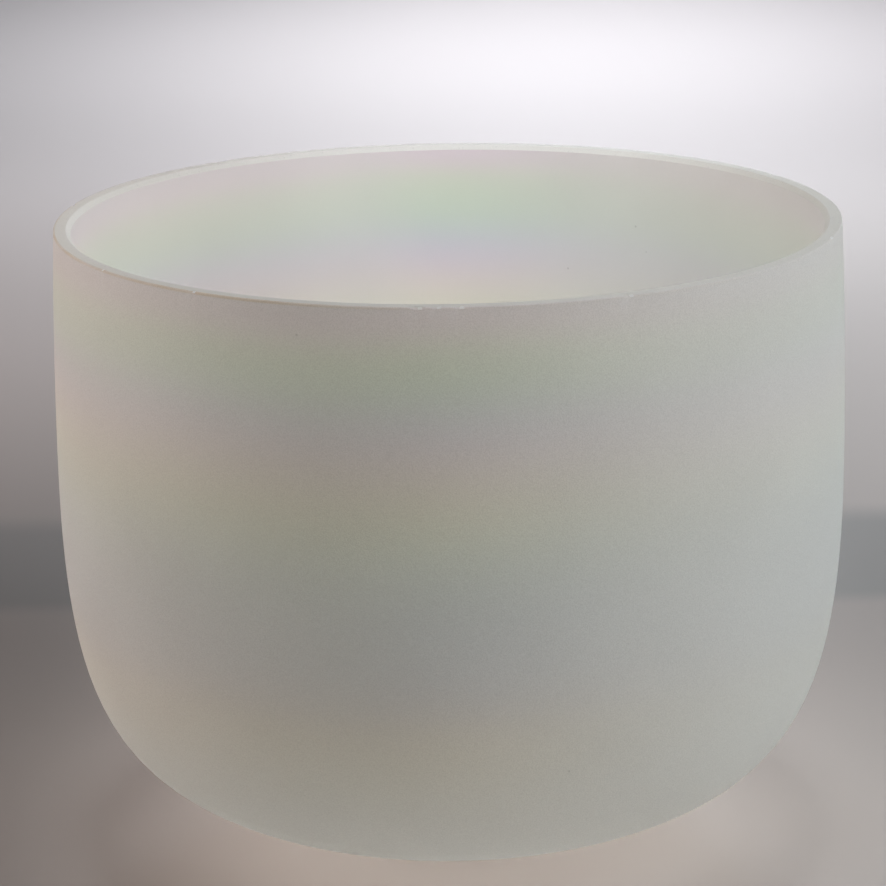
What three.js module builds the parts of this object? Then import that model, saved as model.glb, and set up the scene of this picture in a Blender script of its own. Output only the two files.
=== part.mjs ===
// A frosted quartz singing bowl standing on its silicone seat ring, in millimetres, +Z up.
// The origin is the centre of the ring's foot, on the surface that the ring stands on.
// The bowl is one fused piece: a domed base, a full curved flank, a wall that leans in
// slightly above its belly, and a rim that is ground flat and bevelled on the inside.
// The bowl rests on the ring by its own weight and lifts straight off.
import * as THREE from "three";

// Bowl.
const rimRadius = 127; // outside of the mouth, 10 in across
const bowlHeight = 204; // lowest point of the base to the rim, 8 in
const wall = 5.5;
const baseCurveRadius = 2 * rimRadius; // the base is a shallow dome as wide as the mouth
const baseEdgeRadius = 0.6 * rimRadius; // where the dome runs into the flank
const bellyRadius = 129.1; // widest part of the wall
const bellyHeight = 121.5; // above the lowest point
const flankStartPull = 40.5; // how far the flank carries on along the dome before it turns up
const flankEndPull = 75.5; // how far below the belly the flank is already upright
const rimOuterBreak = 0.5; // the sharp outer edge is taken off
const rimInnerBevel = 1.5; // ground bevel inside the flat of the rim

// Seat ring.
const ringSectionRadius = 4;
const ringRadius = 34; // centre of the section
const ringFootWidth = 3; // the section is pressed flat where it stands
const seatGap = 0.3; // clearance between the ring and the dome above it

// Resolution.
const profileSteps = 26;
const turnSteps = 80;
const ringSectionSteps = 10;
const ringTurnSteps = 56;

const quarterTurn = Math.PI / 2;

// The outside of the bowl from the middle of its base to the rim, as radius and height.
function outerPath() {
  const path = new THREE.Path();
  const domeAngle = Math.asin(baseEdgeRadius / baseCurveRadius);
  path.absarc(0, baseCurveRadius, baseCurveRadius, -quarterTurn, domeAngle - quarterTurn);

  const edge = path.currentPoint.clone();
  const along = new THREE.Vector2(Math.cos(domeAngle), Math.sin(domeAngle));
  const leave = edge.clone().addScaledVector(along, flankStartPull);
  path.bezierCurveTo(
    leave.x, leave.y,
    bellyRadius, bellyHeight - flankEndPull,
    bellyRadius, bellyHeight,
  );

  const rise = bowlHeight - bellyHeight;
  const lean = bellyRadius - rimRadius;
  const wallCurveRadius = (rise * rise + lean * lean) / (2 * lean);
  path.absarc(
    bellyRadius - wallCurveRadius, bellyHeight,
    wallCurveRadius, 0, Math.asin(rise / wallCurveRadius),
  );
  return path;
}

// The whole section of the bowl: up the outside, across the rim and down the inside.
function bowlProfile() {
  const path = outerPath();
  const outside = [];
  const inside = [];
  for (let i = 0; i <= profileSteps; i++) {
    const share = i / profileSteps;
    const point = path.getPoint(share);
    const tangent = path.getTangent(share);
    const outward = new THREE.Vector2(tangent.y, -tangent.x);
    outside.push(point);
    inside.push(point.clone().addScaledVector(outward, -wall));
  }
  outside[0].x = 0;
  inside[0].x = 0;

  const rim = [
    new THREE.Vector2(rimRadius, bowlHeight - rimOuterBreak),
    new THREE.Vector2(rimRadius - rimOuterBreak, bowlHeight),
    new THREE.Vector2(rimRadius - wall + rimInnerBevel, bowlHeight),
    new THREE.Vector2(rimRadius - wall, bowlHeight - rimInnerBevel),
  ];
  return [
    ...outside.filter((p) => p.y < bowlHeight - rimOuterBreak),
    ...rim,
    ...inside.filter((p) => p.y < bowlHeight - rimInnerBevel).reverse(),
  ];
}

const ringFootHalf = ringFootWidth / 2;
const ringCentreHeight = Math.sqrt(ringSectionRadius ** 2 - ringFootHalf ** 2);

// The ring's round section, closed across its flat foot.
function ringProfile() {
  const footAngle = Math.asin(ringFootHalf / ringSectionRadius);
  const path = new THREE.Path();
  path.absarc(
    ringRadius, ringCentreHeight, ringSectionRadius,
    footAngle - quarterTurn, 3 * quarterTurn - footAngle,
  );
  const points = path.getPoints(ringSectionSteps);
  points.at(0).y = 0;
  points.at(-1).y = 0;
  return [...points, points[0].clone()];
}

// Turns a profile about the Z axis.
function turned(profile, steps) {
  return new THREE.LatheGeometry(profile, steps).rotateX(quarterTurn);
}

function bowl() {
  const quartz = new THREE.MeshStandardMaterial({
    color: 0xc9c8be,
    roughness: 0.55,
    metalness: 0,
  });
  const mesh = new THREE.Mesh(turned(bowlProfile(), turnSteps), quartz);
  mesh.name = "bowl";
  // The dome touches the ring's section where both have the same normal.
  const centres = baseCurveRadius + ringSectionRadius + seatGap;
  const rise = Math.sqrt(centres ** 2 - ringRadius ** 2);
  mesh.position.z = ringCentreHeight + rise - baseCurveRadius;
  return mesh;
}

function seatRing() {
  const silicone = new THREE.MeshStandardMaterial({
    color: 0xdad8d0,
    roughness: 0.6,
    metalness: 0,
  });
  const mesh = new THREE.Mesh(turned(ringProfile(), ringTurnSteps), silicone);
  mesh.name = "seat_ring";
  return mesh;
}

const singingBowl = new THREE.Group();
singingBowl.name = "singing_bowl";
singingBowl.add(seatRing(), bowl());

export default singingBowl;
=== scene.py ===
"""A frosted quartz singing bowl on its silicone seat ring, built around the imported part.

Metres, +Z up, in the part's own frame: the mouth is centred on the Z axis, and z = 0 is
the surface that the seat ring stands on. The camera looks along +Y, so the front is -Y.
"""

import math

import bpy
import numpy as np
from mathutils import Matrix, Vector


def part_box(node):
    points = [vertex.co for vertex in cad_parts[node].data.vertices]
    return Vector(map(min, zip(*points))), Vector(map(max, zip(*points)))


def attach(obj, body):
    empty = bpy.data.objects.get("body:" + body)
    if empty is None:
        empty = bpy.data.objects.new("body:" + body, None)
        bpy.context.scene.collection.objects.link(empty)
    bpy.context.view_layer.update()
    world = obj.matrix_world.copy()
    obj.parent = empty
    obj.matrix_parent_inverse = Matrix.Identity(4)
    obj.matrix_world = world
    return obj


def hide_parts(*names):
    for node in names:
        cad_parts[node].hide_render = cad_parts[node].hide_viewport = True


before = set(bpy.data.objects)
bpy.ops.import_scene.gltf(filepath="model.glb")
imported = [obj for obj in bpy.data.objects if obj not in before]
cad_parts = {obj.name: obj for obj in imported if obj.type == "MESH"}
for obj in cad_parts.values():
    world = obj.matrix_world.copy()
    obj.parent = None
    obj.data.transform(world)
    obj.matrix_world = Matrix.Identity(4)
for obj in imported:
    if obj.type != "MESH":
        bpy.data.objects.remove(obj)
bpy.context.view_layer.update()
bowl_low, bowl_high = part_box("bowl")
ring_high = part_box("seat_ring")[1]

FULL_TURN = 2 * math.pi
QUARTER_TURN = math.pi / 2

# The bowl's section, the same curves as the CAD bowl's.
BASE_Z = bowl_low.z
RIM_Z = bowl_high.z
BELLY_RADIUS = bowl_high.x
RIM_RADIUS = 0.127
WALL = 0.0055
DOME_RADIUS = 2 * RIM_RADIUS
DOME_EDGE_RADIUS = 0.6 * RIM_RADIUS
BELLY_HEIGHT = 0.1215  # above the lowest point
BELLY_Z = BASE_Z + BELLY_HEIGHT
FLANK_START_PULL = 0.0405
FLANK_END_PULL = 0.0755
POLE_RADIUS = 0.0002  # of the pinholes that the turned mesh leaves on the axis

# The ground rim.
OUTER_BREAK = 0.0005
INNER_BEVEL = 0.0015
BEVEL_ROUND = 0.0003  # how far from its top corner the bevel is blunted
BEVEL_BLUNTING = 0.25  # how far the bevel's top corner is cut back towards its chord

# Small chips in the rim's outer edge: degrees round from the front, reach to each side,
# and depth.
CHIPS = (
    (-56, 0.0016, 0.0005),
    (-36.5, 0.0018, 0.0006),
    (-4, 0.0024, 0.0008),
    (-1.5, 0.0016, 0.0004),
    (1.5, 0.0020, 0.0005),
    (24.5, 0.0026, 0.0004),
    (71, 0.0018, 0.0005),
    (118, 0.0022, 0.0006),
    (163, 0.0016, 0.0005),
    (-141, 0.0024, 0.0006),
    (-102, 0.0018, 0.0004),
)

CHIP_DROP = 0.7  # how far a chip goes down, as a share of how far it goes in
CHIP_EDGE_FADE = 0.5  # how much shallower a chip is along its two long edges
CHIP_BARE_SHARE = 0.4  # of its reach that is bare quartz

TURN_STEPS = 720
OUTSIDE_STEPS = 56
INSIDE_STEPS = 48
DOME_STEPS = 60
FLANK_STEPS = 120
LEAN_STEPS = 60
EDGE_STEPS = 5
FLAT_STEPS = 8
BEVEL_STEPS = 5

# The bowl mesh's material slots, in order.
OUTSIDE_SLOT, GROUND_SLOT, INSIDE_SLOT, CHIP_SLOT = range(4)
BOWL_SHARP_ANGLE = math.radians(25)

# The seat ring's section: a round cord, pressed flat at its foot, with a parting line.
RING_SECTION = 0.004
RING_RADIUS = ring_high.x - RING_SECTION
RING_FOOT_HALF = 0.0015
PARTING_HEIGHT = 0.00008
PARTING_HALF = 0.0003
RING_TURN_STEPS = 256
RING_SECTION_STEPS = 72
RING_FOOT_STEPS = 6
RING_SHARP_ANGLE = math.radians(35)


# ---------------------------------------------------------------- shape helpers


def arc(centre, radius, start, end, steps):
    """Points (r, z) along an arc, both ends included."""
    angles = np.linspace(start, end, steps + 1)
    return np.column_stack([
        centre[0] + radius * np.cos(angles),
        centre[1] + radius * np.sin(angles),
    ])


def straight(start, end, steps):
    """Points along a straight line, both ends included."""
    return np.linspace(start, end, steps + 1)


def bezier(a, b, c, d, steps):
    """Points along a cubic Bezier curve, both ends included."""
    t = np.linspace(0, 1, steps + 1)[:, None]
    s = 1 - t
    return s**3 * a + 3 * s**2 * t * b + 3 * s * t**2 * c + t**3 * d


def resampled(line, steps):
    """The same line as evenly spaced points, and its normals, to the right of its direction."""
    lengths = np.r_[0, np.cumsum(np.linalg.norm(np.diff(line, axis=0), axis=1))]
    wanted = np.linspace(0, lengths[-1], steps + 1)
    points = np.column_stack([np.interp(wanted, lengths, line[:, i]) for i in (0, 1)])
    along = np.gradient(points, axis=0)
    along /= np.linalg.norm(along, axis=1)[:, None]
    return points, np.column_stack([along[:, 1], -along[:, 0]])


def turned_rows(section, steps):
    """One ring of (x, y, z) points for each (r, z) point of a section turned about Z."""
    angles = np.arange(steps) * FULL_TURN / steps
    radius = section[:, 0][:, None]
    height = section[:, 1][:, None]
    return np.stack([
        radius * np.cos(angles),
        radius * np.sin(angles),
        np.broadcast_to(height, (len(section), steps)),
    ], axis=-1)


def turned_mesh(name, rows, closed):
    """A mesh over rings of points. closed joins the last ring to the first."""
    rings, steps = rows.shape[:2]
    row = np.arange(rings if closed else rings - 1)[:, None]
    step = np.arange(steps)[None, :]
    after = (step + 1) % steps
    above = (row + 1) % rings
    faces = np.stack([
        row * steps + step,
        row * steps + after,
        above * steps + after,
        above * steps + step,
    ], axis=-1).reshape(-1, 4)
    mesh = bpy.data.meshes.new(name)
    mesh.from_pydata(rows.reshape(-1, 3).tolist(), [], faces.tolist())
    return mesh


def finished(mesh, sharp_above):
    """The mesh as a smooth-shaded object in the scene, with its edges sharp above an angle."""
    mesh.shade_smooth()
    mesh.set_sharp_from_angle(angle=sharp_above)
    piece = bpy.data.objects.new(mesh.name, mesh)
    bpy.context.scene.collection.objects.link(piece)
    return piece


# ---------------------------------------------------------------- material helpers

NOISE_RANGE = (0.3, 0.7)  # holds nearly all of a noise's values


class Recipe:
    """A material's node tree, with short calls for the nodes that it uses."""

    def __init__(self, name):
        self.material = bpy.data.materials.new(name)
        self.material.use_nodes = True
        self.tree = self.material.node_tree
        self.surface = self.tree.nodes["Principled BSDF"]
        self.place = self.add("ShaderNodeTexCoord").outputs["Object"]

    def add(self, kind, **settings):
        node = self.tree.nodes.new(kind)
        for key, value in settings.items():
            setattr(node, key, value)
        return node

    def feed(self, socket, value):
        """Links an output to a socket, or sets the socket's value."""
        if isinstance(value, bpy.types.NodeSocket):
            self.tree.links.new(value, socket)
        else:
            socket.default_value = value

    def set(self, **values):
        """Sets the surface's inputs, named with _ for a space."""
        for key, value in values.items():
            self.feed(self.surface.inputs[key.replace("_", " ")], value)

    def axes(self):
        """The place's X, Y and Z."""
        node = self.add("ShaderNodeSeparateXYZ")
        self.feed(node.inputs[0], self.place)
        return node.outputs

    def math(self, operation, *values):
        node = self.add("ShaderNodeMath", operation=operation)
        for socket, value in zip(node.inputs, values):
            self.feed(socket, value)
        return node.outputs[0]

    def map(self, value, low, high, to_low, to_high):
        """value from low..high to to_low..to_high, eased and held at both ends."""
        node = self.add("ShaderNodeMapRange", interpolation_type="SMOOTHSTEP")
        for socket, number in zip(node.inputs, (value, low, high, to_low, to_high)):
            self.feed(socket, number)
        return node.outputs[0]

    def curve(self, value, points):
        """A smooth curve through the points, with value and points both in 0..1."""
        node = self.add("ShaderNodeFloatCurve")
        line = node.mapping.curves[0]
        line.points[0].location = points[0]
        line.points[1].location = points[-1]
        for point in points[1:-1]:
            line.points.new(*point)
        for point in line.points:
            point.handle_type = "AUTO_CLAMPED"
        node.mapping.update()
        self.feed(node.inputs["Value"], value)
        return node.outputs[0]

    def noise(self, size, detail=2.0, roughness=0.5, stretch=(1, 1, 1)):
        """Noise between 0 and 1 whose features are about size across, in metres."""
        mapping = self.add("ShaderNodeMapping")
        self.feed(mapping.inputs["Vector"], self.place)
        mapping.inputs["Scale"].default_value = stretch
        node = self.add("ShaderNodeTexNoise")
        self.feed(node.inputs["Vector"], mapping.outputs[0])
        node.inputs["Scale"].default_value = 1 / size
        node.inputs["Detail"].default_value = detail
        node.inputs["Roughness"].default_value = roughness
        return node.outputs["Fac"]

    def vary(self, noise, low, high):
        """A noise, spread over low..high."""
        return self.map(noise, *NOISE_RANGE, low, high)

    def specks(self, spacing, radius, strength):
        """strength in sparse small spots about spacing apart, and 0 between them."""
        node = self.add("ShaderNodeTexVoronoi")
        self.feed(node.inputs["Vector"], self.place)
        node.inputs["Scale"].default_value = 1 / spacing
        edge = radius / spacing
        return self.map(node.outputs["Distance"], 0.5 * edge, edge, strength, 0.0)

    def combine(self, red, green, blue):
        node = self.add("ShaderNodeCombineColor")
        for socket, value in zip(node.inputs, (red, green, blue)):
            self.feed(socket, value)
        return node.outputs[0]

    def grey(self, value):
        return self.combine(value, value, value)

    def tinted(self, colour, tint):
        """One colour times the other."""
        node = self.add("ShaderNodeVectorMath", operation="MULTIPLY")
        self.feed(node.inputs[0], colour)
        self.feed(node.inputs[1], tint)
        return node.outputs[0]

    def let_through(self, share, colour, normal):
        """Lets a share of the light through the surface, scattered and coloured."""
        through = self.add("ShaderNodeBsdfTranslucent")
        self.feed(through.inputs["Color"], colour)
        self.feed(through.inputs["Normal"], normal)
        both = self.add("ShaderNodeMixShader")
        self.feed(both.inputs[0], share)
        self.feed(both.inputs[1], self.surface.outputs[0])
        self.feed(both.inputs[2], through.outputs[0])
        self.feed(self.tree.nodes["Material Output"].inputs["Surface"], both.outputs[0])

    def bump(self, height, distance):
        node = self.add("ShaderNodeBump")
        self.feed(node.inputs["Height"], height)
        node.inputs["Distance"].default_value = distance
        return node.outputs[0]


# ---------------------------------------------------------------- materials

# The film on the quartz is thickest at the rim and thins towards the base, so its
# interference colours run in rings. Each row is a depth below the rim in metres, and
# there the light's extra way through the film in micrometres.
FILM_DEPTH = 0.21
FILM_PATH = 2.1
FILM = (
    (0.0, 1.93),
    (0.006, 1.83),
    (0.016, 1.65),
    (0.026, 1.525),
    (0.036, 1.39),
    (0.054, 1.20),
    (0.090, 0.935),
    (0.110, 0.87),
    (0.122, 0.785),
    (0.134, 0.65),
    (0.149, 0.555),
    (0.165, 0.47),
    (0.210, 0.40),
)

# Red, green and blue: their wavelengths in micrometres, and how strongly each one swings.
WAVELENGTHS = (0.610, 0.550, 0.465)
WAVE_SHARES = (1.0, 0.72, 0.76)

# The rings wander up and down with a noise of this size, by this much.
WOBBLE_SIZE = 0.12
WOBBLE_STRETCH = (1, 1, 0.4)
WOBBLE_REACH = 0.010

# The depths between which the rings are shifted down by a finish's lag.
LAG_DEPTHS = (0.010, 0.026)

# How the rings fade with depth: from where, to where, and the share that is left there.
DEPTH_FADES = ((0.06, 0.09, 0.85), (0.125, 0.165, 0.5))

# Each side's finish. A fade is a stretch of X with the share of the rings' strength that
# is left at its far end, first on the left (end, start, share) and then on the right
# (start, end, share). The grain's depth is in its shade and its height in metres.
OUTSIDE_FINISH = {
    "film_strength": 0.029,
    "film_lag": 0.0,
    "film_fade": ((-0.125, -0.04, 0.6), (-0.02, 0.1, 0.25)),
    "grain_depth": 0.062,
    "grain_height": 0.0001,
    "edge_line": True,
}
INSIDE_FINISH = {
    "film_strength": 0.068,
    "film_lag": 0.005,
    "film_fade": ((-0.035, 0.0, 0.52), (0.0, 0.07, 0.28)),
    "grain_depth": 0.008,
    "grain_height": 0.00003,
    "edge_line": False,
}

QUARTZ_COLOUR = (0.920, 0.931, 0.928)
QUARTZ_ROUGHNESS = (0.5, 0.62)
QUARTZ_IOR = 1.46
QUARTZ_SPECULAR = 0.4
THROUGH_TINT = (1.0, 0.985, 0.945)
THROUGH_SHARE = 0.5

# Below, clouds and patches are a noise's low and high and the values to map them to, and
# specks, pits and dust are a spacing, a radius and a strength.
GRAIN_SIZE = 0.0004
GRAIN_DETAIL = 3.0
QUARTZ_GRAIN_ROUGHNESS = 0.65
QUARTZ_CLOUD_SIZE = 0.05
QUARTZ_CLOUDS = (0.2, 0.8, 0.985, 1.015)
QUARTZ_SPECKS = (0.018, 0.0005, 0.16)


def film_colour(recipe, strength, lag, fade):
    """The quartz's colour with the film's rings of faint interference colours over it."""
    sideways, _, height = recipe.axes()
    depth = recipe.math("SUBTRACT", RIM_Z, height)
    depth = recipe.math("SUBTRACT", depth, recipe.map(depth, *LAG_DEPTHS, 0.0, lag))

    wander = recipe.noise(WOBBLE_SIZE, detail=1.0, stretch=WOBBLE_STRETCH)
    wobble = recipe.math("SUBTRACT", wander, 0.5)
    depth = recipe.math("MULTIPLY_ADD", wobble, WOBBLE_REACH, depth)
    share = recipe.math("DIVIDE", depth, FILM_DEPTH)
    path = recipe.curve(share, [(d / FILM_DEPTH, p / FILM_PATH) for d, p in FILM])

    (left_end, left_full, left_share), (right_full, right_end, right_share) = fade
    fades = [
        recipe.map(sideways, left_end, left_full, left_share, 1.0),
        recipe.map(sideways, right_full, right_end, 1.0, right_share),
    ]
    fades += [recipe.map(depth, start, end, 1.0, left_over) for start, end, left_over in DEPTH_FADES]
    clear = strength
    for value in fades:
        clear = recipe.math("MULTIPLY", clear, value)

    channels = []
    for wavelength, wave_share, plain in zip(WAVELENGTHS, WAVE_SHARES, QUARTZ_COLOUR):
        turn = recipe.math("MULTIPLY", path, FULL_TURN * FILM_PATH / wavelength)
        wave = recipe.math("MULTIPLY", recipe.math("COSINE", turn), wave_share)
        lift = recipe.math("MULTIPLY_ADD", wave, clear, 1.0)
        channels.append(recipe.math("MULTIPLY", lift, plain))
    return recipe.combine(*channels)


def frost(recipe, colour, grain, roughness, grain_height):
    """Gives the surface a colour and a grain, and lets light through it."""
    normal = recipe.bump(grain, grain_height)
    recipe.set(
        Base_Color=colour,
        Roughness=recipe.vary(grain, *roughness),
        IOR=QUARTZ_IOR,
        Specular_IOR_Level=QUARTZ_SPECULAR,
        Normal=normal,
    )
    recipe.let_through(THROUGH_SHARE, recipe.tinted(colour, THROUGH_TINT), normal)


def quartz(name, film_strength, film_lag, film_fade, grain_depth, grain_height, edge_line):
    """Frosted fused quartz: sandy grain, faint cloudiness, rare specks, and the film's rings."""
    recipe = Recipe(name)
    grain = recipe.noise(GRAIN_SIZE, GRAIN_DETAIL, QUARTZ_GRAIN_ROUGHNESS)
    speckle = recipe.vary(grain, 1 - grain_depth, 1 + grain_depth)
    clouds = recipe.map(recipe.noise(QUARTZ_CLOUD_SIZE), *QUARTZ_CLOUDS)
    unspecked = recipe.math("SUBTRACT", 1.0, recipe.specks(*QUARTZ_SPECKS))
    shade = recipe.math("MULTIPLY", recipe.math("MULTIPLY", speckle, clouds), unspecked)
    film = film_colour(recipe, film_strength, film_lag, film_fade)
    colour = recipe.tinted(film, recipe.grey(shade))
    if edge_line:
        colour = recipe.tinted(colour, edge_stain(recipe))
    frost(recipe, colour, grain, QUARTZ_ROUGHNESS, grain_height)
    return recipe.material


# The line that grinding left: the heights over which it comes in, its patches, where along X
# it gives out, and the share of red, green and blue that it takes away.
STAIN_HEIGHTS = (RIM_Z - 2.2 * OUTER_BREAK, RIM_Z - 0.8 * OUTER_BREAK)
STAIN_PATCH_SIZE = 0.03
STAIN_PATCHES = (0.35, 0.6, 0.4, 1.0)
STAIN_GIVES_OUT = (-0.05, 0.0, 1.0, 0.1)
STAIN_LOSS = (0.07, 0.13, 0.24)


def edge_stain(recipe):
    """A thin tan line round the outside of the rim, clearest on the left."""
    sideways, _, height = recipe.axes()
    line = recipe.map(height, *STAIN_HEIGHTS, 0.0, 1.0)
    patches = recipe.map(recipe.noise(STAIN_PATCH_SIZE), *STAIN_PATCHES)
    kept = recipe.map(sideways, *STAIN_GIVES_OUT)
    line = recipe.math("MULTIPLY", recipe.math("MULTIPLY", line, patches), kept)
    lost = [recipe.math("MULTIPLY", line, share) for share in STAIN_LOSS]
    return recipe.combine(*[recipe.math("SUBTRACT", 1.0, value) for value in lost])


RIM_COLOUR = (0.920, 0.925, 0.915)
RIM_ROUGHNESS = (0.45, 0.6)
RIM_GRAIN_ROUGHNESS = 0.6
RIM_GRAIN_SHADES = (0.975, 1.025)
RIM_GRAIN_HEIGHT = 0.0001
RIM_PITS = (0.0028, 0.0005, 0.06)


def ground_rim():
    """The rim's ground faces: fine grain, small dull pits and no film."""
    recipe = Recipe("ground_rim")
    grain = recipe.noise(GRAIN_SIZE, GRAIN_DETAIL, RIM_GRAIN_ROUGHNESS)
    shade = recipe.math("SUBTRACT", recipe.vary(grain, *RIM_GRAIN_SHADES), recipe.specks(*RIM_PITS))
    colour = recipe.tinted(RIM_COLOUR, recipe.grey(shade))
    frost(recipe, colour, grain, RIM_ROUGHNESS, RIM_GRAIN_HEIGHT)
    return recipe.material


# Painted glint: the chip's colour is whiter than the quartz's, for the glints of its facets.
CHIP_COLOUR_AND_GLINT = (1.0, 1.0, 0.99)
CHIP_FACET_SIZE = 0.0006
CHIP_FACET_SHADES = (0.97, 1.0)
CHIP_FACET_HEIGHT = 0.0002
CHIP_ROUGHNESS = 0.3
CHIP_PAINTED_GLINT = 0.2  # light of its own, which stands for the facets' glints
CHIP_THROUGH_SHARE = 0.3


def chip_with_painted_glint():
    """Bare broken quartz, glossier than the frosted faces round it, with a painted glint: a whiter
    colour and a faint glow of its own.
    """
    recipe = Recipe("chip_with_painted_glint")
    facets = recipe.noise(CHIP_FACET_SIZE, detail=1.0)
    colour = recipe.tinted(CHIP_COLOUR_AND_GLINT, recipe.grey(recipe.vary(facets, *CHIP_FACET_SHADES)))
    normal = recipe.bump(facets, CHIP_FACET_HEIGHT)
    recipe.set(
        Base_Color=colour,
        Roughness=CHIP_ROUGHNESS,
        IOR=QUARTZ_IOR,
        # Painted glint: the chip glows faintly, though it is no lamp.
        Emission_Color=(1.0, 1.0, 1.0, 1.0),
        Emission_Strength=CHIP_PAINTED_GLINT,
        Normal=normal,
    )
    recipe.let_through(CHIP_THROUGH_SHARE, colour, normal)
    return recipe.material


SILICONE_COLOUR = (0.76, 0.75, 0.70)
SILICONE_ROUGHNESS = (0.42, 0.58)
SILICONE_SCATTER = 0.5
SILICONE_SCATTER_REACH = 0.003
SILICONE_GRAIN_SIZE = 0.0005
SILICONE_GRAIN_ROUGHNESS = 0.6
SILICONE_GRAIN_SHADES = (0.985, 1.015)
SILICONE_GRAIN_HEIGHT = 0.00006
SILICONE_CLOUD_SIZE = 0.012
SILICONE_CLOUDS = (0.25, 0.75, 0.95, 1.03)
SILICONE_DUST = (0.0035, 0.0004, 0.10)


def silicone():
    """Milky moulded silicone with faint clouds, a fine satin grain and a little dust."""
    recipe = Recipe("silicone")
    grain = recipe.noise(SILICONE_GRAIN_SIZE, GRAIN_DETAIL, SILICONE_GRAIN_ROUGHNESS)
    clouds = recipe.map(recipe.noise(SILICONE_CLOUD_SIZE, detail=3.0), *SILICONE_CLOUDS)
    shade = recipe.math("SUBTRACT", clouds, recipe.specks(*SILICONE_DUST))
    shade = recipe.math("MULTIPLY", shade, recipe.vary(grain, *SILICONE_GRAIN_SHADES))
    recipe.set(
        Base_Color=recipe.tinted(SILICONE_COLOUR, recipe.grey(shade)),
        Roughness=recipe.vary(grain, *SILICONE_ROUGHNESS),
        Subsurface_Weight=SILICONE_SCATTER,
        Subsurface_Scale=SILICONE_SCATTER_REACH,
        Normal=recipe.bump(grain, SILICONE_GRAIN_HEIGHT),
    )
    return recipe.material


# ---------------------------------------------------------------- the bowl


def outer_section():
    """The outside of the bowl from the middle of its base to the rim."""
    dome_angle = math.asin(DOME_EDGE_RADIUS / DOME_RADIUS)
    dome = arc(
        (0, BASE_Z + DOME_RADIUS), DOME_RADIUS,
        -QUARTER_TURN, dome_angle - QUARTER_TURN, DOME_STEPS,
    )
    along = np.array([math.cos(dome_angle), math.sin(dome_angle)])
    flank = bezier(
        dome[-1],
        dome[-1] + FLANK_START_PULL * along,
        np.array([BELLY_RADIUS, BELLY_Z - FLANK_END_PULL]),
        np.array([BELLY_RADIUS, BELLY_Z]),
        FLANK_STEPS,
    )
    rise = RIM_Z - BELLY_Z
    lean = BELLY_RADIUS - RIM_RADIUS
    curve_radius = (rise**2 + lean**2) / (2 * lean)
    wall = arc(
        (BELLY_RADIUS - curve_radius, BELLY_Z), curve_radius,
        0, math.asin(rise / curve_radius), LEAN_STEPS,
    )
    return np.vstack([dome, flank[1:], wall[1:]])


def rim_sections():
    """The broken outer edge, and the ground faces from there to the bevel's foot."""
    edge_centre = (RIM_RADIUS - OUTER_BREAK, RIM_Z - OUTER_BREAK)
    edge = arc(edge_centre, OUTER_BREAK, 0, QUARTER_TURN, EDGE_STEPS)
    inner_rim = RIM_RADIUS - WALL
    bevel_top = np.array([inner_rim + INNER_BEVEL, RIM_Z])
    bevel_foot = np.array([inner_rim, RIM_Z - INNER_BEVEL])
    flat = straight(edge[-1], bevel_top + [BEVEL_ROUND, 0], FLAT_STEPS)
    downhill = (bevel_foot - bevel_top) / np.linalg.norm(bevel_foot - bevel_top)
    turn = bevel_top + BEVEL_BLUNTING * BEVEL_ROUND * (downhill + [1, 0]) / 2
    bevel = straight(bevel_top + BEVEL_ROUND * downhill, bevel_foot, BEVEL_STEPS)
    return edge, np.vstack([flat[1:], [turn], bevel])


def bowl_section():
    """The bowl's section as (r, z) rows, the slot after each row, and the rows of a chip."""
    line = outer_section()
    outside, _ = resampled(line, OUTSIDE_STEPS)
    backed, outward = resampled(line, INSIDE_STEPS)
    inside = backed - WALL * outward
    edge, ground = rim_sections()
    outside = outside[outside[:, 1] < edge[0, 1] - OUTER_BREAK]
    inside = inside[inside[:, 1] < ground[-1, 1] - OUTER_BREAK]
    outside[0, 0] = inside[0, 0] = POLE_RADIUS
    section = np.vstack([outside, edge, ground, inside[::-1]])
    slots = np.concatenate([
        np.full(len(outside) + len(edge) - 1, OUTSIDE_SLOT),
        np.full(len(ground), GROUND_SLOT),
        np.full(len(inside), INSIDE_SLOT),
    ])
    first_edge_row = len(outside)
    return section, slots, first_edge_row, first_edge_row + len(edge)


def chip_rim(rows, first, last):
    """Sinks the chips into the rows first..last of the rim, and says which columns hold them."""
    chipped = []
    columns = np.arange(TURN_STEPS)
    column_width = FULL_TURN * RIM_RADIUS / TURN_STEPS
    half_turn = TURN_STEPS / 2
    middle = (first + last) / 2
    half_span = (last - first) / 2
    for degrees, reach, depth in CHIPS:
        place = (degrees - 90) / 360 * TURN_STEPS
        away = np.abs((columns - place + half_turn) % TURN_STEPS - half_turn) * column_width
        sunk = depth * np.clip(1 - (away / reach) ** 2, 0, 1)
        for row in range(first, last + 1):
            fade = 1 - CHIP_EDGE_FADE * abs(row - middle) / half_span
            rows[row, :, 2] -= CHIP_DROP * fade * sunk
            rows[row, :, :2] *= (1 - fade * sunk / RIM_RADIUS)[:, None]
        chipped.append(columns[away < CHIP_BARE_SHARE * reach])
    return np.concatenate(chipped)


def bowl_wall():
    section, slots, first, last = bowl_section()
    rows = turned_rows(section, TURN_STEPS)
    chipped = chip_rim(rows, first, last)
    face_slots = np.repeat(slots[:, None], TURN_STEPS, axis=1)
    face_slots[first + 1:last, chipped] = CHIP_SLOT
    mesh = turned_mesh("bowl_wall", rows, closed=False)
    for material in (
        quartz("frosted_quartz", **OUTSIDE_FINISH),
        ground_rim(),
        quartz("frosted_quartz_inside", **INSIDE_FINISH),
        chip_with_painted_glint(),
    ):
        mesh.materials.append(material)
    mesh.polygons.foreach_set("material_index", face_slots.ravel().astype(np.int32))
    piece = finished(mesh, BOWL_SHARP_ANGLE)
    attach(piece, "bowl")
    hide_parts("bowl")


# ---------------------------------------------------------------- the seat ring


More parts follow.
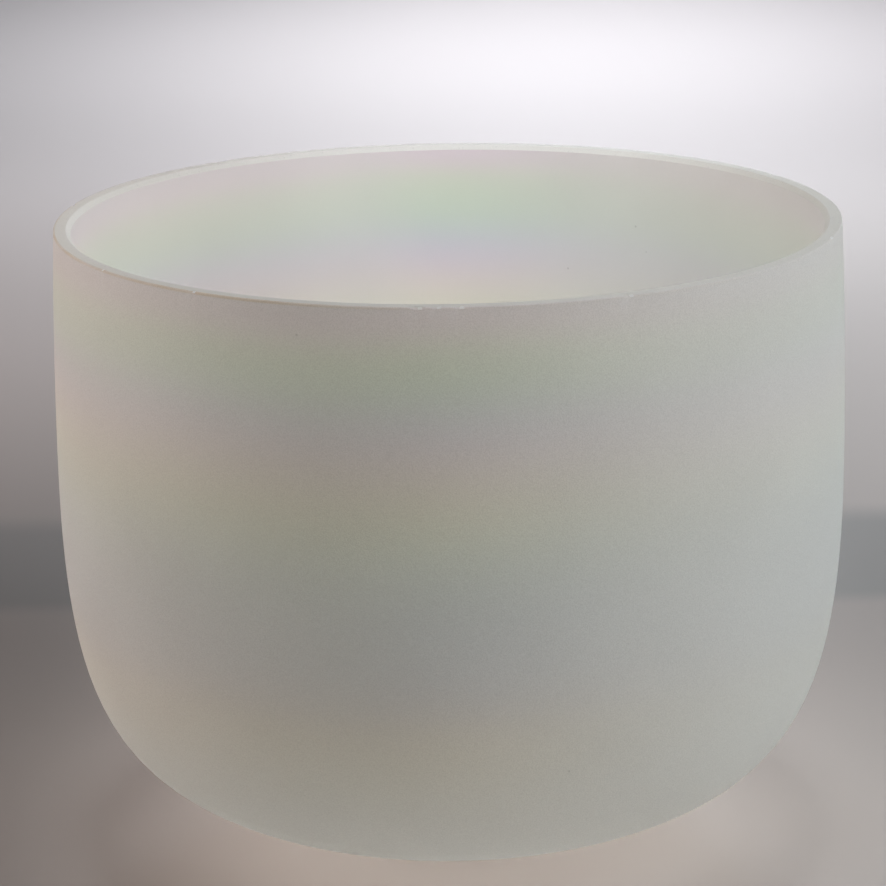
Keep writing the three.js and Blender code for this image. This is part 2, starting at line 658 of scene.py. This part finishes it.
def ring_section():
    """The ring's section, anticlockwise from the outer end of its foot to the inner end."""
    centre_height = math.sqrt(RING_SECTION**2 - RING_FOOT_HALF**2)
    foot_angle = math.asin(RING_FOOT_HALF / RING_SECTION)
    angles = np.linspace(
        foot_angle - QUARTER_TURN, 3 * QUARTER_TURN - foot_angle, RING_SECTION_STEPS + 1
    )
    height = centre_height + RING_SECTION * np.sin(angles)
    # The cord's own surface lies inside the parting line by the line's height.
    proud = PARTING_HEIGHT * np.exp(-(((height - centre_height) / PARTING_HALF) ** 2))
    radius = RING_SECTION - PARTING_HEIGHT + proud
    section = np.column_stack([
        RING_RADIUS + radius * np.cos(angles),
        centre_height + radius * np.sin(angles),
    ])
    section[0, 1] = section[-1, 1] = 0
    foot = straight(section[-1], section[0], RING_FOOT_STEPS)[1:-1]
    return np.vstack([section, foot])


def silicone_ring():
    rows = turned_rows(ring_section(), RING_TURN_STEPS)
    mesh = turned_mesh("silicone_ring", rows, closed=True)
    mesh.materials.append(silicone())
    piece = finished(mesh, RING_SHARP_ANGLE)
    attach(piece, "seat")
    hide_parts("seat_ring")


bowl_wall()
silicone_ring()


# ---------------------------------------------------------------- stage

FLOOR_REACH = 4.0
BACKDROP_Y = 2.4
BACKDROP_HEIGHT = 2.6
STAGE_ROUGHNESS = 0.7
FLOOR_COLOUR = (0.62, 0.575, 0.56)
BACKDROP_COLOUR = (0.8, 0.8, 0.82, 1.0)

# Painted light and shade: how light the floor is painted along Y, as shares of the way from the bowl
# to the backdrop.
PAINTED_FLOOR_LIGHT = ((0.0, 0.7), (0.05, 0.7), (0.2, 1.0), (0.35, 1.0), (0.6, 0.7), (1.0, 0.7))

# A painted shadow darkens the floor to the bowl's left, and painted light lightens it behind the
# bowl to the right.
# Each row is a stretch of X or Y, and the size of the change at its two ends.
PAINTED_SHADOW_LEFT = (-0.17, -0.03, 0.45, 0.0)
PAINTED_SHADOW_NEAR = (0.2, 0.7, 1.0, 0.0)
PAINTED_LIGHT_RIGHT = (0.1, 0.25, 0.0, 0.17)
PAINTED_LIGHT_MIDDLE = (0.8, 1.2, 1.0, 0.0)

# A soft blue-grey band across the floor stands for the gap behind the table: the stretches
# of Y over which it comes and goes, and the share of red, green and blue that it takes away.
BAND_NEAR = (0.215, 0.237)
BAND_FAR = (0.326, 0.361)
BAND_LOSS = (0.25, 0.20, 0.18)


def matt_floor():
    """A matt floor with painted light and shade in places, and a band across it behind the bowl."""
    recipe = Recipe("floor")
    sideways, back, _ = recipe.axes()
    along = recipe.math("DIVIDE", back, BACKDROP_Y)
    # Painted shadow on the floor to the bowl's left, near the bowl.
    painted_shadow = recipe.math(
        "MULTIPLY", recipe.map(sideways, *PAINTED_SHADOW_LEFT), recipe.map(back, *PAINTED_SHADOW_NEAR)
    )
    kept = recipe.math("SUBTRACT", 1.0, painted_shadow)
    # Painted light and shade along Y.
    shade = recipe.math("MULTIPLY", recipe.curve(along, PAINTED_FLOOR_LIGHT), kept)

    # Painted light on the floor behind the bowl, to the right.
    behind = recipe.map(back, *BAND_FAR, 0.0, 1.0)
    middle = recipe.math("MULTIPLY", recipe.map(back, *PAINTED_LIGHT_MIDDLE), behind)
    lift = recipe.math("MULTIPLY", recipe.map(sideways, *PAINTED_LIGHT_RIGHT), middle)
    shade = recipe.math("MULTIPLY_ADD", shade, lift, shade)

    band = recipe.math("SUBTRACT", recipe.map(back, *BAND_NEAR, 0.0, 1.0), behind)
    left_over = [recipe.math("MULTIPLY_ADD", band, -loss, 1.0) for loss in BAND_LOSS]
    colour = recipe.tinted(FLOOR_COLOUR, recipe.grey(shade))
    recipe.set(
        Base_Color=recipe.tinted(colour, recipe.combine(*left_over)),
        Roughness=STAGE_ROUGHNESS,
    )
    return recipe.material


def matt_backdrop():
    recipe = Recipe("backdrop")
    recipe.set(Base_Color=BACKDROP_COLOUR, Roughness=STAGE_ROUGHNESS)
    return recipe.material


def quad(name, corners, material):
    mesh = bpy.data.meshes.new(name)
    mesh.from_pydata(corners, [], [tuple(range(len(corners)))])
    mesh.materials.append(material)
    piece = bpy.data.objects.new(name, mesh)
    bpy.context.scene.collection.objects.link(piece)
    return piece


floor = quad("floor", [
    (-FLOOR_REACH, -FLOOR_REACH, 0),
    (FLOOR_REACH, -FLOOR_REACH, 0),
    (FLOOR_REACH, BACKDROP_Y, 0),
    (-FLOOR_REACH, BACKDROP_Y, 0),
], matt_floor())
quad("backdrop", [
    (-FLOOR_REACH, BACKDROP_Y, 0),
    (FLOOR_REACH, BACKDROP_Y, 0),
    (FLOOR_REACH, BACKDROP_Y, BACKDROP_HEIGHT),
    (-FLOOR_REACH, BACKDROP_Y, BACKDROP_HEIGHT),
], matt_backdrop())


# ---------------------------------------------------------------- lights

MOUTH = (0, 0, RIM_Z)

# Soft lights: name, place, what they face, width and height, watts and colour.
PANELS = (
    ("right_light", (1.2, -0.15, 0.45), MOUTH, (0.8, 0.8), 5.1, (0.91, 0.95, 1.0)),
    ("right_back_light", (0.9, 0.75, 0.5), MOUTH, (0.6, 0.6), 2.1, (0.9, 1.0, 0.92)),
    ("right_high_light", (0.95, -0.45, 1.0), MOUTH, (0.6, 0.6), 3.6, (0.85, 0.94, 1.0)),
    ("left_light", (-1.2, 0.3, 0.4), MOUTH, (0.8, 0.8), 7.4, (1.0, 0.78, 0.7)),
    ("front_light", (-0.1, -1.4, 0.5), MOUTH, (0.8, 0.8), 3.5, (1.0, 0.90, 0.75)),
    ("pool_light", (0.10, 1.65, 0.6), (0.10, 1.66, 0), (0.4, 0.9), 11.4, (0.89, 0.93, 1.0)),
)

# Narrow lights: name, place, what they face, degrees across, softness, watts and colour.
SPOTS = (
    ("inside_light", (0.05, -0.75, 1.35), (0.02, 0.12, 0.21), 10.5, 0.05, 50, (0.97, 0.97, 1.0)),
    ("inside_left_light", (0.75, -0.1, 1.3), (-0.1, 0, 0.14), 9, 0.05, 22, (0.95, 0.98, 1.0)),
    ("mouth_light", (0, 0, 1.5), (0, 0, 0), 10, 0.03, 58, (0.92, 0.985, 1.0)),
    ("rim_light", (-0.014, 0, 1.5), (-0.014, 0, 0), 14.5, 0.25, 62, (0.96, 0.97, 0.96)),
)

# The bowl lets light down on to the floor, which scattering alone doesn't give.
FLOOR_GLOW = ("glow_light", (0.01, 0, 1.3), (0.01, 0, 0), 18, 0.1, 35, (1.0, 0.88, 0.80))


def light(kind, name, at, towards, power, colour):
    """A light in the scene that the camera doesn't see."""
    data = bpy.data.lights.new(name, kind)
    data.energy = power
    data.color = colour
    piece = bpy.data.objects.new(name, data)
    piece.location = at
    piece.rotation_euler = (Vector(towards) - Vector(at)).to_track_quat("-Z", "Y").to_euler()
    piece.visible_camera = False
    bpy.context.scene.collection.objects.link(piece)
    return piece


def lights_only(piece, target):
    """Keeps a light to one object, with nothing else in its way."""
    targets = bpy.data.collections.new("lit_by_" + piece.name)
    targets.objects.link(target)
    piece.light_linking.receiver_collection = targets
    piece.light_linking.blocker_collection = targets


def panel(name, at, towards, size, power, colour):
    piece = light("AREA", name, at, towards, power, colour)
    piece.data.shape = "RECTANGLE"
    piece.data.size, piece.data.size_y = size


def spot(name, at, towards, cone, softness, power, colour):
    """A spotlight whose cone is so many degrees across, fading from its middle to its edge."""
    piece = light("SPOT", name, at, towards, power, colour)
    piece.data.spot_size = math.radians(cone)
    piece.data.spot_blend = 1.0
    piece.data.shadow_soft_size = softness
    return piece


for row in PANELS:
    panel(*row)
for row in SPOTS:
    spot(*row)
lights_only(spot(*FLOOR_GLOW), floor)

world = bpy.data.worlds.new("dark_studio")
world.use_nodes = True
world.node_tree.nodes["Background"].inputs["Strength"].default_value = 0.0
bpy.context.scene.world = world
bpy.context.scene.view_settings.view_transform = "Standard"


# ---------------------------------------------------------------- camera

# The camera stands in front of the bowl, eight mouth radii away, looking down into it.
CAMERA_BACK = 8 * RIM_RADIUS
CAMERA_ABOVE_RIM = 1.6848 * RIM_RADIUS
PITCH = math.radians(15.963)
YAW = math.radians(-0.145)
ROLL = math.radians(-0.876)
SENSOR_WIDTH = 36  # millimetres, like the lens
LENS = 129.9


def place_camera():
    data = bpy.data.cameras.new("camera")
    data.sensor_width = SENSOR_WIDTH
    data.lens = LENS
    camera = bpy.data.objects.new("camera", data)
    bpy.context.scene.collection.objects.link(camera)
    bpy.context.scene.camera = camera
    forward = Vector((
        math.sin(YAW) * math.cos(PITCH),
        math.cos(YAW) * math.cos(PITCH),
        -math.sin(PITCH),
    ))
    level = Vector((math.cos(YAW), -math.sin(YAW), 0))
    upright = level.cross(forward)
    right = math.cos(ROLL) * level + math.sin(ROLL) * upright
    up = math.cos(ROLL) * upright - math.sin(ROLL) * level
    turn = Matrix((right, up, -forward)).transposed().to_4x4()
    camera.matrix_world = Matrix.Translation((0, -CAMERA_BACK, RIM_Z + CAMERA_ABOVE_RIM)) @ turn


place_camera()
